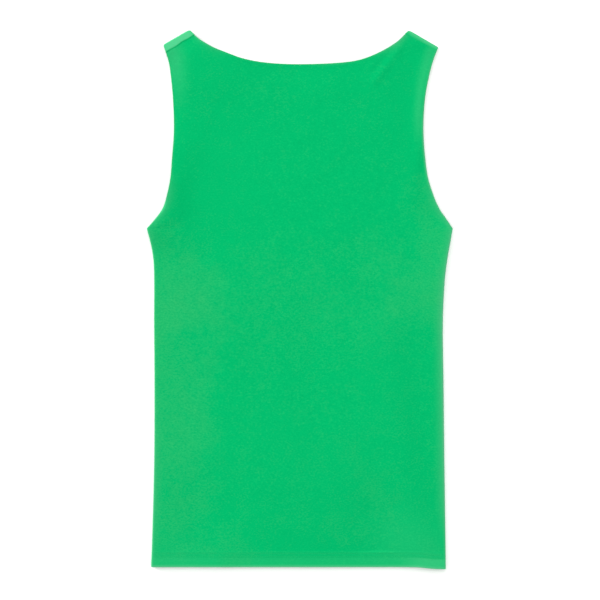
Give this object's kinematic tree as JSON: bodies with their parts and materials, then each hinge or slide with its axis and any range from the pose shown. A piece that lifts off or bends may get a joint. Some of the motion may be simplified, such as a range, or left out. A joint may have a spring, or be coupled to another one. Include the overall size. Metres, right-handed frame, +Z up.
{
  "type": "tank top",
  "caption": "Sleeveless tank top in plain bright green jersey, laid flat with its back up, with a wide shallow neckline, narrow straps and a turned hem.",
  "frame": {"origin": "middle of the garment's outline, at the surface that it lies on", "axes": "+X across the garment to the right as it lies with its back up, +Y from the hem to the shoulders, +Z up from the surface"},
  "size_m": [0.3696, 0.6528, 0.0058],
  "materials": {
    "jersey": "matte fine-gauge cotton jersey, bright leaf green"
  },
  "bodies": {
    "root": {"back_panel": "jersey", "front_panel": "jersey"}
  },
  "joints": []
}
